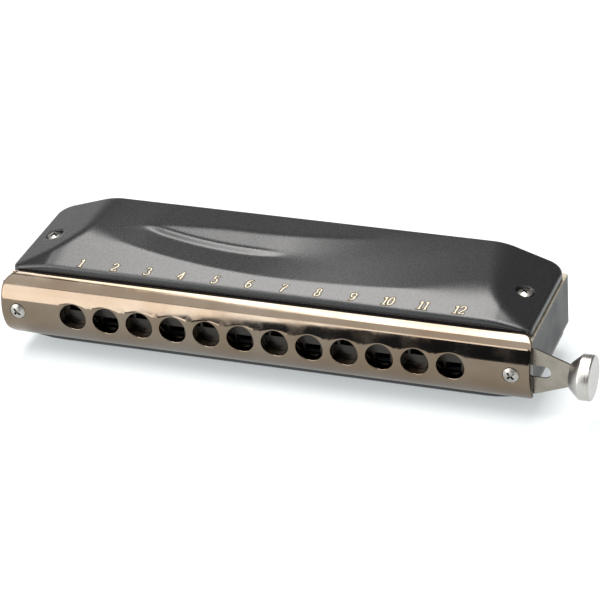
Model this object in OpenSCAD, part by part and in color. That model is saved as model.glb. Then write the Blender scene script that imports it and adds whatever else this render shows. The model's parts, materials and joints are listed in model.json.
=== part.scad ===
// Twelve-hole chromatic harmonica with a slide button, in millimetres.
// X runs along the holes towards the button, Y from the mouthpiece to the open back, Z up.
// Everything is drawn about the middle of the hole row, and place() moves it so that the
// origin is the middle of the underside of the whole instrument.

/* [Holes] */
// Distance between neighbouring holes
hole_pitch = 9.4; // [9.3:0.05:9.45]
// Diameter of a hole in the mouthpiece
hole_d = 7.35; // [7:0.05:7.5]

/* [Mouthpiece] */
// Length of the mouthpiece
mouth_len = 144.8; // [144.6:0.1:145.6]
// Height of the mouthpiece
mouth_h = 18.3; // [18.2:0.1:18.4]
// Radius of its bowed front
bow_r = 11.5; // [11.4:0.1:11.6]
// Radius of the shoulders above and below the bow
shoulder_r = 2.8; // [2.6:0.1:3]
// Depth of its top and bottom edges behind the front
mouth_depth = 6; // [5.8:0.1:6.1]
// Corner radius at the closed end
mouth_corner_r = 3.5; // [3:0.5:4.5]
// Distance of each mouthpiece screw from the middle
mouth_screw_x = 67.5; // [67.3:0.1:67.6]

/* [Slide] */
// Thickness of the slide plate
slide_t = 0.55; // [0.5:0.01:0.58]
// Height of the slide plate inside the mouthpiece
slide_h = 13.2; // [13.1:0.1:13.2]
// Height of its neck at the button
neck_h = 6.3; // [5.8:0.1:6.6]
// Width of an air window
window_w = 4; // [3.6:0.1:4.2]
// Height of an air window
window_h = 2.9; // [2.6:0.1:3]

/* [Button] */
// Diameter of the button
button_d = 11.8; // [11:0.1:12]
// Distance from the middle of the hole row to the button's end face
button_end_x = 87.9; // [87:0.1:89]
// Length of the button's conical shoulder
button_cone_l = 2.9; // [2.5:0.1:3.2]
// Length of the button's cylindrical head
button_head_l = 3; // [2.7:0.1:3.2]

/* [Comb and reed plates] */
// Length of the comb and of the reed plates
comb_len = 143.2; // [143:0.1:143.4]
// Thickness of the comb
comb_t = 13; // [12.8:0.1:13]
// Thickness of a reed plate
plate_t = 0.7; // [0.65:0.05:0.7]
// Depth of the whole body behind the front of the mouthpiece
body_depth = 40.5; // [40.3:0.1:41]
// Length of the lowest and of the highest reed
reed_long = 17.5; // [16:0.5:17.5]
reed_short = 10.5; // [9:0.5:11]

/* [Covers] */
// Length of a cover
cover_len = 142.2; // [141.8:0.1:142.4]
// Height of a cover's crown above the middle of the comb
crown_z = 14.8; // [14.7:0.1:15.2]
// Height of the crease along a cover's front edge
crease_z = 11.4; // [11.3:0.1:11.6]
// Height of a cover's short ends
end_z = 9.5; // [9.4:0.1:9.6]
// Half the length of the level crown between the end ramps
crown_half_len = 55; // [54.5:0.5:55.5]
// Thickness of the cover's sheet
sheet_t = 0.6; // [0.5:0.05:0.6]
// Distance of each cover screw from the middle
cover_screw_x = 65.2; // [65:0.1:65.4]
// Distance of the cover screws behind the mouthpiece's front
cover_screw_y = 22.4; // [22:0.1:24]

/* [Hidden] */
$fn = 64;

over = 1;                                   // how far a cutter runs past a face
holes = [1 : 12];
travel = hole_pitch / 2;                    // the slide moves by half the hole pitch
half_len = mouth_len / 2;
half_comb = comb_len / 2;
plate_z = comb_t / 2 + plate_t;             // outer face of a reed plate

// layers behind the mouthpiece's front, along Y
guide_y = 3.05;
guide_t = 0.3;
slide_gap = 0.05;
slide_y = guide_y + guide_t + slide_gap;
channel_y = slide_y + slide_t + slide_gap;
channel_t = 0.5;
comb_y = channel_y + channel_t;
rail_z = slide_h / 2 + 0.06;                // inner face of the channel's rails
cavity_half_h = 7.2;                        // hollow in the mouthpiece's back
cavity_end_x = -half_len + 0.5;
inlay_gap = 0.05;                           // slide layers stand clear of the hollow

// side view of the mouthpiece: the bow runs into each shoulder where their radii line up
shoulder_z = mouth_h / 2 - shoulder_r;
shoulder_y = bow_r - sqrt(pow(bow_r - shoulder_r, 2) - pow(shoulder_z, 2));
bow_end_y = bow_r - (bow_r - shoulder_y) * bow_r / (bow_r - shoulder_r);
bow_end_z = shoulder_z * bow_r / (bow_r - shoulder_r);
rim_z = plate_z + inlay_gap;                // its rims lie on the reed plates
mouth_back_r = 4;                           // back corner at the slide's end
inlay_end_x = half_len - 1;
window_z = 0.45;                            // from the mid-plane to the nearest window edge

// mouthpiece screws, and the sleeves on them that stop the slide
mouth_head_r = 2.05;
mouth_head_h = 1.05;
mouth_shank_r = 1;
mouth_screw_end_y = 14;
sink_y = 0.55;                              // floor of the sink that a head sits in
sleeve_r = 1.6;
slot_r = 1.7;

// slide plate, at rest
slide_left_x = cavity_end_x + travel + 0.3;
fork_x = -mouth_screw_x + travel;           // the fork stops on the left sleeve when pushed in
taper_x = half_len + 0.4;
neck_x = button_end_x - button_head_l - button_cone_l;
slot_end_x = neck_x - 5;
lug_x = -60.6;
lug_t = 0.55;
lug_end_y = 8.1;
lug_z = [2.5, 4.7];

// return spring, in a pocket of the comb
spring_y = 6.6;
spring_z = 3.6;
spring_r = 1.2;
wire_r = 0.2;
spring_turns = 7;
spring_start_x = -70.2;
spring_end_x = lug_x - wire_r - 0.05;
pocket_x = [-70.5, -59.5];
pocket_z = [2.05, 5.15];
pocket_end_y = 8.5;

// reeds
reed_x = 2.05;                              // a hole's blow reed is this far left, its draw reed right
reed_w = 1.9;
reed_pad_w = 2.3;
reed_pad_l = 2.9;
reed_t = 0.3;
slot_w = 2.1;
slot_start_y = 9.6;
tip_gap = 0.15;
rivet_r = 0.6;
rivet_head_r = 0.95;
rivet_head_h = 0.35;
valve_w = 2.6;
valve_t = 0.2;
valve_hold_l = 2.4;

// chambers
chamber_w = 7.6;
chamber_y = 6;
floor_z = 0.45;                             // half the web between the upper and lower chambers

// screws that hold a reed plate to the comb
plate_screw_r = 0.8;
plate_head_r = 1.6;
plate_head_h = 0.8;
plate_screw_l = 5;
plate_screw_spots = [
    for (x = [-56 : 28 : 56]) [x, 36.5],
    for (x = [-60.5, 60.5]) [x, 12]
];

// covers
cover_front_y = mouth_depth + 0.4;
cover_back_y = body_depth;
slope_m = 0.21;                             // rise of the front slope
ramp_m = (crown_z - end_z) / (cover_len / 2 - crown_half_len);
edge_r = 0.8;
blend_r = 12;
front_corner_r = 2.5;
back_corner_r = 4;
back_gap_half_len = 58;
hem_z = 13;
seat_z = end_z + 0.9;                       // where a cover screw's head sits
dimple_r = 2.4;
cover_head_r = 2.1;
cover_head_h = 1.1;
cover_shank_r = 1;
cover_screw_end_z = 2.5;

// thumb trough, a ring swept round a far centre behind the instrument
trough_centre = [-2, 150];
trough_ring_r = 132;
trough_r = 12;
trough_z = 12.9;

mid_x = (button_end_x - half_len) / 2;
front_y = slide_y + slide_t / 2 - button_d / 2;
mid_y = (body_depth + front_y) / 2;

function hole_x(i) = (i - 6.5) * hole_pitch;
function is_odd(i) = i % 2 == 1;
function reed_l(i) = reed_long - (reed_long - reed_short) * (i - 1) / 11;
function slot_end_y(i) = slot_start_y + reed_l(i);

// points of a rounded corner at p, on the way from a to b
function corner(a, p, b, r, n = 8) =
    let (
        u = (a - p) / norm(a - p),
        v = (b - p) / norm(b - p),
        half = acos(u * v) / 2,
        mid = (u + v) / norm(u + v),
        c = p + mid * r / sin(half),
        s = p + u * r / tan(half) - c,
        e = p + v * r / tan(half) - c,
        turn = 180 - 2 * half,
        side = sign(s.x * e.y - s.y * e.x)
    )
    [for (k = [0 : n]) let (t = side * turn * k / n)
        c + [s.x * cos(t) - s.y * sin(t), s.x * sin(t) + s.y * cos(t)]];

// outline through corners, each [x, y, radius]
function rounded(pts) =
    [for (i = [0 : len(pts) - 1])
        let (
            p = pts[i],
            a = pts[(i + len(pts) - 1) % len(pts)],
            b = pts[(i + 1) % len(pts)]
        )
        each (p.z > 0 ? corner([a.x, a.y], [p.x, p.y], [b.x, b.y], p.z) : [[p.x, p.y]])];

module place() translate([-mid_x, -mid_y, crown_z]) children();
module block(lo, hi) translate(lo) cube(hi - lo);
module along_x(x0, x1) translate([x0, 0, 0]) rotate([90, 0, 90]) linear_extrude(x1 - x0) children();
module along_y(y0, y1) translate([0, y1, 0]) rotate([90, 0, 0]) linear_extrude(y1 - y0) children();
module along_z(z0, z1) translate([0, 0, z0]) linear_extrude(z1 - z0) children();
module rod_y(x, z, r, y0, y1) translate([x, y0, z]) rotate([-90, 0, 0]) cylinder(r = r, h = y1 - y0);
module rod_z(x, y, r, z0, z1) translate([x, y, z0]) cylinder(r = r, h = z1 - z0);
module below() mirror([0, 0, 1]) children();

// pan-head screw with a cross recess: head above z = 0, shank below
module screw(head_r, head_h, shank_r, shank_l) {
    dome_r = head_r * 1.9;
    blade_w = head_r * 0.28;
    blade_l = head_r * 1.15;
    difference() {
        union() {
            intersection() {
                cylinder(r = head_r, h = head_h);
                translate([0, 0, head_h - dome_r]) sphere(r = dome_r);
            }
            translate([0, 0, -shank_l]) cylinder(r = shank_r, h = shank_l + head_h / 4);
        }
        for (turn = [0, 90])
            rotate([0, 0, turn + 45])
                translate([-blade_l / 2, -blade_w / 2, head_h * 0.35]) cube([blade_l, blade_w, head_h]);
    }
}

// front view of the mouthpiece: round corners at the closed end, square at the slide's end
module mouth_outline() {
    r = mouth_corner_r;
    h = mouth_h / 2;
    translate([-half_len + r, -h]) square([mouth_len - r, mouth_h]);
    translate([-half_len, -h + r]) square([mouth_len, mouth_h - 2 * r]);
    for (side = [-1, 1])
        translate([-half_len + r, side * (h - r)]) circle(r = r);
}

// side view of the mouthpiece, [y, z]
module mouth_profile() {
    top = mouth_h / 2;
    intersection() {
        translate([bow_r, 0]) circle(r = bow_r);
        translate([-over, -bow_end_z]) square([bow_end_y + over, 2 * bow_end_z]);
    }
    intersection() {
        for (side = [-1, 1])
            translate([shoulder_y, side * shoulder_z]) circle(r = shoulder_r);
        translate([0, -top]) square([shoulder_y, mouth_h]);
    }
    polygon([[bow_end_y, -bow_end_z], [shoulder_y, -shoulder_z], [shoulder_y, -top], [mouth_depth, -top],
        [mouth_depth, top], [shoulder_y, top], [shoulder_y, shoulder_z], [bow_end_y, bow_end_z]]);
}

// plan of the mouthpiece: one round back corner, at the slide's end
module mouth_plan() {
    r = mouth_back_r;
    translate([-half_len, -over]) square([mouth_len - r, mouth_depth + over]);
    translate([-half_len, -over]) square([mouth_len, mouth_depth + over - r]);
    translate([half_len - r, mouth_depth - r]) circle(r = r);
}

// front view of what fills the mouthpiece's hollow, with the given gap all round
module inlay_outline(gap, end_x) {
    left = cavity_end_x + gap;
    h = cavity_half_h - gap;
    r = mouth_corner_r - 1;
    translate([left + r, -h]) square([end_x - left - r, 2 * h]);
    translate([left, -h + r]) square([end_x - left, 2 * (h - r)]);
    for (side = [-1, 1])
        translate([left + r, side * (h - r)]) circle(r = r);
}

module mouthpiece() {
    color("#b9b2a6") place() difference() {
        intersection() {
            along_x(-half_len, half_len) mouth_profile();
            along_y(-over, mouth_depth + over) mouth_outline();
            along_z(-mouth_h, mouth_h) mouth_plan();
        }
        along_y(guide_y, mouth_depth + over) inlay_outline(0, half_len + over);
        block([-half_len - over, comb_y - slide_gap, -rim_z], [half_len + over, mouth_depth + over, rim_z]);
        for (i = holes)
            rod_y(hole_x(i), 0, hole_d / 2, -over, guide_y + over);
        for (side = [-1, 1]) {
            rod_y(side * mouth_screw_x, 0, mouth_head_r + 0.15, -over, sink_y);
            rod_y(side * mouth_screw_x, 0, mouth_shank_r, -over, guide_y + over);
        }
    }
}

module mouthpiece_screws() {
    color("#d8d8d8") place() for (side = [-1, 1])
        translate([side * mouth_screw_x, sink_y, 0]) rotate([90, 0, 0])
            screw(mouth_head_r, mouth_head_h, mouth_shank_r, mouth_screw_end_y - sink_y);
}

// thin plate between the mouthpiece and the slide
module slide_front_plate() {
    color("#9c9890") place() difference() {
        along_y(guide_y, guide_y + guide_t) inlay_outline(inlay_gap, inlay_end_x);
        for (i = holes)
            rod_y(hole_x(i), 0, hole_d / 2, guide_y - over, guide_y + guide_t + over);
        for (side = [-1, 1])
            rod_y(side * mouth_screw_x, 0, mouth_shank_r, guide_y - over, guide_y + guide_t + over);
    }
}

module window(x, row, y0, y1) {
    z0 = row > 0 ? window_z : -window_z - window_h;
    block([x - window_w / 2, y0, z0], [x + window_w / 2, y1, z0 + window_h]);
}

// plate with two rails that the slide runs between, and an upper and a lower window for each hole
module slide_channel() {
    rail_y = slide_y - slide_gap;
    end_y = channel_y + channel_t;
    color("#8f8b84") place() difference() {
        along_y(rail_y, end_y) inlay_outline(inlay_gap, inlay_end_x);
        block([cavity_end_x - over, rail_y - over, -rail_z], [half_len + over, channel_y, rail_z]);
        for (i = holes)
            for (row = [-1, 1])
                window(hole_x(i), row, rail_y - over, end_y + over);
        for (side = [-1, 1])
            rod_y(side * mouth_screw_x, 0, mouth_shank_r, rail_y - over, end_y + over);
        block(
            [lug_x - travel - 0.4, rail_y - over, lug_z[0] - 0.2],
            [lug_x + lug_t + 0.4, end_y + over, lug_z[1] + 0.2]
        );
    }
}

// front view of the slide plate without its windows
module slide_outline() {
    h = slide_h / 2;
    r = 5;
    difference() {
        union() {
            translate([slide_left_x + r, -h]) square([taper_x - slide_left_x - r, slide_h]);
            for (side = [-1, 1])
                translate([slide_left_x + r, side * (h - r)]) circle(r = r);
            translate([slide_left_x, -h + r]) square([r, slide_h - 2 * r]);
            polygon([[taper_x, -h], [neck_x, -neck_h / 2], [neck_x + 3.5, -neck_h / 2],
                [neck_x + 3.5, neck_h / 2], [neck_x, neck_h / 2], [taper_x, h]]);
        }
        translate([slide_left_x - over, -slot_r]) square([fork_x - slide_left_x + over, 2 * slot_r]);
        translate([fork_x, 0]) circle(r = slot_r);
        translate([mouth_screw_x, -slot_r]) square([slot_end_x - slot_r - mouth_screw_x, 2 * slot_r]);
        for (x = [mouth_screw_x, slot_end_x - slot_r])
            translate([x, 0]) circle(r = slot_r);
    }
}

// At rest odd holes breathe through the upper row and even holes through the lower row.
// The other window of each pair is half a pitch to the right, and comes into line on the push.
module slide_plate() {
    color("#a59f95") place() {
        difference() {
            along_y(slide_y, slide_y + slide_t) slide_outline();
            for (i = holes) {
                row = is_odd(i) ? 1 : -1;
                window(hole_x(i), row, slide_y - over, slide_y + slide_t + over);
                window(hole_x(i) + travel, -row, slide_y - over, slide_y + slide_t + over);
            }
        }
        block([lug_x, slide_y, lug_z[0]], [lug_x + lug_t, lug_end_y, lug_z[1]]);
    }
}

// knob pressed on the slide's neck, which fills the slit in it
module slide_button() {
    shoulder_x = button_end_x - button_head_l;
    edge = 0.35;
    r = button_d / 2;
    mid_slide_y = slide_y + slide_t / 2;
    color("#c9c7c3") place() difference() {
        translate([0, mid_slide_y, 0]) rotate([0, 90, 0]) rotate_extrude()
            polygon([[0, neck_x], [neck_h / 2 + 0.25, neck_x], [r, shoulder_x],
                [r, button_end_x - edge], [r - edge, button_end_x], [0, button_end_x]]);
        block([neck_x - over, slide_y, -neck_h / 2], [neck_x + 3.5, slide_y + slide_t, neck_h / 2]);
    }
}

module slide_bumpers() {
    color("#e6e2d8") place() for (side = [-1, 1]) difference() {
        rod_y(side * mouth_screw_x, 0, sleeve_r, slide_y, slide_y + slide_t);
        rod_y(side * mouth_screw_x, 0, mouth_shank_r, slide_y - over, slide_y + slide_t + over);
    }
}

// compression spring along X: a round wire swept along a helix
module slide_spring() {
    sides = 6;
    rings = spring_turns * 14;
    pitch = (spring_end_x - spring_start_x) / spring_turns;
    lean = atan(pitch / (2 * PI * spring_r));
    points = [
        for (i = [0 : rings])
            for (k = [0 : sides - 1])
                let (
                    turn = 360 * spring_turns * i / rings,
                    a = 360 * k / sides,
                    out = spring_r + wire_r * cos(a),
                    side = wire_r * sin(a)
                )
                [
                    spring_start_x + pitch * turn / 360 + side * cos(lean),
                    spring_y + out * cos(turn) + side * sin(lean) * sin(turn),
                    spring_z + out * sin(turn) - side * sin(lean) * cos(turn)
                ]
    ];
    walls = [
        for (i = [0 : rings - 1])
            for (k = [0 : sides - 1])
                let (a = i * sides + k, b = i * sides + (k + 1) % sides)
                    [a, a + sides, b + sides, b]
    ];
    first = [for (k = [0 : sides - 1]) k];
    last = [for (k = [sides - 1 : -1 : 0]) rings * sides + k];
    color("#b8bcc0") place() polyhedron(points = points, faces = concat(walls, [first, last]), convexity = 8);
}

// one row of chambers: a wide chamber under each pair of reeds and a narrow throat to its window
module chambers() {
    for (i = holes) {
        x = hole_x(i);
        block([x - chamber_w / 2, chamber_y, floor_z],
            [x + chamber_w / 2, slot_end_y(i) + reed_pad_l + 0.7, comb_t / 2 + over]);
        window(x, 1, comb_y - over, chamber_y + over);
    }
}

module cover_screw_holes(r, z0, z1) {
    for (side = [-1, 1])
        rod_z(side * cover_screw_x, cover_screw_y, r, z0, z1);
}

module comb() {
    h = comb_t / 2;
    color("#3c3d40") place() difference() {
        block([-half_comb, comb_y, -h], [half_comb, body_depth, h]);
        chambers();
        below() chambers();
        block([pocket_x[0], comb_y - over, pocket_z[0]], [pocket_x[1], pocket_end_y, pocket_z[1]]);
        for (side = [-1, 1])
            rod_y(side * mouth_screw_x, 0, mouth_shank_r, comb_y - over, mouth_screw_end_y);
        for (flip = [0, 1]) mirror([0, 0, flip]) {
            cover_screw_holes(cover_shank_r, cover_screw_end_z, h + over);
            for (p = plate_screw_spots)
                rod_z(p.x, p.y, plate_screw_r, plate_z - plate_screw_l, h + over);
        }
    }
}

// upper reed plate: a slot and a rivet hole for each reed
module reed_plate() {
    z0 = comb_t / 2;
    difference() {
        block([-half_comb, comb_y, z0], [half_comb, body_depth, plate_z]);
        for (i = holes)
            for (side = [-1, 1]) {
                x = hole_x(i) + side * reed_x;
                block([x - slot_w / 2, slot_start_y, z0 - over], [x + slot_w / 2, slot_end_y(i), plate_z + over]);
                rod_z(x, rivet_y(i, side), rivet_r, z0 - over, plate_z + over);
            }
        cover_screw_holes(cover_shank_r, z0 - over, plate_z + over);
        for (p = plate_screw_spots)
            rod_z(p.x, p.y, plate_screw_r, z0 - over, plate_z + over);
    }
}

// blow reeds (side -1) are riveted at the front, draw reeds (side 1) at the back
function rivet_y(i, side) = side < 0 ? slot_start_y - reed_pad_l / 2 : slot_end_y(i) + reed_pad_l / 2;

// a row of reeds on the face at z0: side -1 blow, side 1 draw
module reeds(side, z0) {
    for (i = holes) {
        x = hole_x(i) + side * reed_x;
        y = rivet_y(i, side);
        tip_y = side < 0 ? slot_end_y(i) - tip_gap : slot_start_y + tip_gap;
        difference() {
            union() {
                block([x - reed_pad_w / 2, y - reed_pad_l / 2, z0], [x + reed_pad_w / 2, y + reed_pad_l / 2, z0 + reed_t]);
                block([x - reed_w / 2, min(y, tip_y), z0], [x + reed_w / 2, max(y, tip_y), z0 + reed_t]);
            }
            rod_z(x, y, rivet_r, z0 - over, z0 + reed_t + over);
        }
    }
}

// each rivet goes through the plate and its reed, with a head on both outer sides
module reed_rivets() {
    for (i = holes)
        for (side = [-1, 1]) {
            x = hole_x(i) + side * reed_x;
            y = rivet_y(i, side);
            low = comb_t / 2 - (side < 0 ? reed_t : 0);
            high = plate_z + (side > 0 ? reed_t : 0);
            rod_z(x, y, rivet_head_r, low - rivet_head_h, low);
            rod_z(x, y, rivet_r, low - rivet_head_h / 2, high + rivet_head_h / 2);
            rod_z(x, y, rivet_head_r, high, high + rivet_head_h);
        }
}

// film valves over the slots, on the side away from the reed
module valves(side, z0) {
    for (i = holes) {
        x = hole_x(i) + side * reed_x;
        low_y = side < 0 ? slot_start_y - 0.2 : slot_start_y - valve_hold_l;
        high_y = side < 0 ? slot_end_y(i) + valve_hold_l : slot_end_y(i) - 0.2;
        block([x - valve_w / 2, low_y, z0], [x + valve_w / 2, high_y, z0 + valve_t]);
    }
}

module plate_screws() {
    for (p = plate_screw_spots)
        translate([p.x, p.y, plate_z])
            screw(plate_head_r, plate_head_h, plate_screw_r, plate_screw_l);
}

module upper_reed_plate() { color("#c2a25a") place() reed_plate(); }
module lower_reed_plate() { color("#c2a25a") place() below() reed_plate(); }
module upper_blow_reeds() { color("#d6b964") place() reeds(-1, comb_t / 2 - reed_t); }
module upper_draw_reeds() { color("#d6b964") place() reeds(1, plate_z); }
module lower_blow_reeds() { color("#d6b964") place() below() reeds(-1, comb_t / 2 - reed_t); }
module lower_draw_reeds() { color("#d6b964") place() below() reeds(1, plate_z); }
module upper_reed_rivets() { color("#e0c880") place() reed_rivets(); }
module lower_reed_rivets() { color("#e0c880") place() below() reed_rivets(); }
module upper_outer_valves() { color("#efece2") place() valves(-1, plate_z); }
module upper_inner_valves() { color("#efece2") place() valves(1, comb_t / 2 - valve_t); }
module lower_outer_valves() { color("#efece2") place() below() valves(-1, plate_z); }
module lower_inner_valves() { color("#efece2") place() below() valves(1, comb_t / 2 - valve_t); }
module upper_plate_screws() { color("#d8c48c") place() plate_screws(); }
module lower_plate_screws() { color("#d8c48c") place() below() plate_screws(); }

// plan of a cover
module cover_plan(inset) {
    x = cover_len / 2 - inset;
    front = cover_front_y + inset;
    back = cover_back_y - inset;
    fr = front_corner_r - inset;
    br = back_corner_r - inset;
    polygon(rounded([[-x, front, fr], [x, front, fr], [x, back, br], [-x, back, br]]));
}

// view of a cover from the front: two end ramps up to the level crown
module cover_ends(inset) {
    drop = inset * sqrt(1 + ramp_m * ramp_m);
    x = cover_len / 2 - inset;
    top = crown_z - inset;
    end = end_z + ramp_m * inset - drop;
    crown_x = cover_len / 2 - (top + drop - end_z) / ramp_m;
    base = plate_z - over;
    polygon(rounded([[-x, base, 0], [x, base, 0], [x, end, edge_r - inset], [crown_x, top, blend_r - inset],
        [-crown_x, top, blend_r - inset], [-x, end, edge_r - inset]]));
}

// view of a cover from its end: upright front, slope, level crown
module cover_slope(inset) {
    drop = inset * sqrt(1 + slope_m * slope_m);
    front = cover_front_y + inset;
    back = cover_back_y + over;
    top = crown_z - inset;
    crease = crease_z + slope_m * inset - drop;
    crown_y = cover_front_y + (top + drop - crease_z) / slope_m;
    base = plate_z - over;
    polygon(rounded([[front, base, 0], [back, base, 0], [back, top, 0],
        [crown_y, top, blend_r - inset], [front, crease, edge_r - inset]]));
}

module trough(drop) {
    translate([trough_centre.x, trough_centre.y, trough_z + trough_r - drop])
        rotate_extrude($fn = 180) translate([trough_ring_r, 0]) circle(r = trough_r);
}

// the cover as a solid, with every surface moved inwards by the inset
module cover_form(inset, base) {
    difference() {
        intersection() {
            along_z(base, crown_z + over) cover_plan(inset);
            along_y(0, body_depth + over) cover_ends(inset);
            along_x(-half_len, half_len) cover_slope(inset);
        }
        trough(inset);
    }
}

// pressed sheet cover, open at the back between its ends, with a dimple for each screw
module cover() {
    difference() {
        union() {
            difference() {
                cover_form(0, plate_z);
                cover_form(sheet_t, plate_z - 0.5);
                block([-back_gap_half_len, cover_back_y - 2 * sheet_t, plate_z - over],
                    [back_gap_half_len, cover_back_y + over, hem_z]);
            }
            intersection() {
                cover_form(0, plate_z);
                cover_screw_holes(dimple_r + sheet_t, seat_z - sheet_t, crown_z);
            }
        }
        cover_screw_holes(dimple_r, seat_z, crown_z + over);
        cover_screw_holes(cover_shank_r, plate_z, crown_z);
    }
}

module cover_screws() {
    for (side = [-1, 1])
        translate([side * cover_screw_x, cover_screw_y, seat_z])
            screw(cover_head_r, cover_head_h, cover_shank_r, seat_z - cover_screw_end_z);
}

module upper_cover() { color("#3b3c41") place() cover(); }
module lower_cover() { color("#3b3c41") place() below() cover(); }
module upper_cover_screws() { color("#d8d8d8") place() cover_screws(); }
module lower_cover_screws() { color("#d8d8d8") place() below() cover_screws(); }

mouthpiece();
mouthpiece_screws();
slide_front_plate();
slide_channel();
slide_plate();
slide_button();
slide_bumpers();
slide_spring();
comb();
upper_reed_plate();
lower_reed_plate();
upper_blow_reeds();
upper_draw_reeds();
lower_blow_reeds();
lower_draw_reeds();
upper_reed_rivets();
lower_reed_rivets();
upper_outer_valves();
upper_inner_valves();
lower_outer_valves();
lower_inner_valves();
upper_plate_screws();
lower_plate_screws();
upper_cover();
lower_cover();
upper_cover_screws();
lower_cover_screws();
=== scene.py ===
"""Looks of the twelve-hole chromatic harmonica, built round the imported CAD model.

Lengths are in millimetres from MIDDLE, the middle of the hole row at the mouthpiece's front:
X along the holes towards the button, Y to the back, Z up.
"""

import json
from math import atan2, cos, hypot, pi, radians, sin, sqrt

import bmesh
import bpy
import numpy as np
from mathutils import Matrix, Vector


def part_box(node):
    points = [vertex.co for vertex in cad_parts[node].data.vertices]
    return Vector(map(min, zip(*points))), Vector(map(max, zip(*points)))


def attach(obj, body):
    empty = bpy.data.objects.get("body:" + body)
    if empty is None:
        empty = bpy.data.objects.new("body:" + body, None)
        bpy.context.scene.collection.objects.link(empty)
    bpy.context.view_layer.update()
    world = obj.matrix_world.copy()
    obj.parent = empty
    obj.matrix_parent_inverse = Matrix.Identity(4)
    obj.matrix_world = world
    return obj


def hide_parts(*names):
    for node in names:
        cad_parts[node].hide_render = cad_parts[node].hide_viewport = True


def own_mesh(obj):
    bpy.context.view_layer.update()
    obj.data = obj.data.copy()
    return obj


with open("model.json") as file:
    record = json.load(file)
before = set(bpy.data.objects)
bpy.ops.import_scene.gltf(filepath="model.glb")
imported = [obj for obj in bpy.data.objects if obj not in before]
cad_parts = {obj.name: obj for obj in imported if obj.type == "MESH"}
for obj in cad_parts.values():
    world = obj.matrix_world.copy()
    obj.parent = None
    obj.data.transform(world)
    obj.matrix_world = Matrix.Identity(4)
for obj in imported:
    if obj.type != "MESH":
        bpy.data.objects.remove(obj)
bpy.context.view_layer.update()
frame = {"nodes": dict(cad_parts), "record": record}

MM = 0.001
BODY = "harmonica"
SLIDE = "slide"


# ---------------------------------------------------------------- places taken from the CAD

mouth_low, mouth_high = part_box("mouthpiece")
MIDDLE = Vector(((mouth_low.x + mouth_high.x) / 2, mouth_low.y, (mouth_low.z + mouth_high.z) / 2))


def node_box(node):
    """Lowest and highest corner of a CAD node, in millimetres from MIDDLE."""
    low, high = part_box(node)
    return (low - MIDDLE) / MM, (high - MIDDLE) / MM


mouth_low, mouth_high = node_box("mouthpiece")
cover_low, cover_high = node_box("upper_cover")
button_low, button_high = node_box("slide_button")
screws_low, screws_high = node_box("upper_cover_screws")

HOLE_COUNT = 12
HOLE_PITCH = 9.4
HOLE_R = 3.675
HOLES = [(i - (HOLE_COUNT - 1) / 2) * HOLE_PITCH for i in range(HOLE_COUNT)]
MOUTH_SCREW_X = 67.5
SLIDE_END_X = MIDDLE.x + mouth_high.x * MM


# ---------------------------------------------------------------- camera, light and floor

def add_camera():
    """The photograph's viewpoint: a long lens, from the front right and above.

    The camera stands at a distance from MIDDLE, and is moved across and up to frame the instrument.
    """
    azimuth, elevation, roll = radians(21.48), radians(30.11), radians(-4.05)
    distance, across, up = 725.4, 11.09, 10.90
    back = Vector((sin(azimuth) * cos(elevation), -cos(azimuth) * cos(elevation), sin(elevation)))
    level = Vector((cos(azimuth), sin(azimuth), 0))
    upright = back.cross(level)
    x_axis = level * cos(roll) + upright * sin(roll)
    y_axis = upright * cos(roll) - level * sin(roll)
    data = bpy.data.cameras.new("camera")
    data.lens = 169.6
    data.sensor_width = 36
    data.clip_start = 0.01
    camera = bpy.data.objects.new("camera", data)
    place = MIDDLE + (back * distance + x_axis * across + y_axis * up) * MM
    turn = Matrix((x_axis, y_axis, back)).transposed()
    camera.matrix_world = Matrix.Translation(place) @ turn.to_4x4()
    bpy.context.scene.collection.objects.link(camera)
    bpy.context.scene.camera = camera


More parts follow.
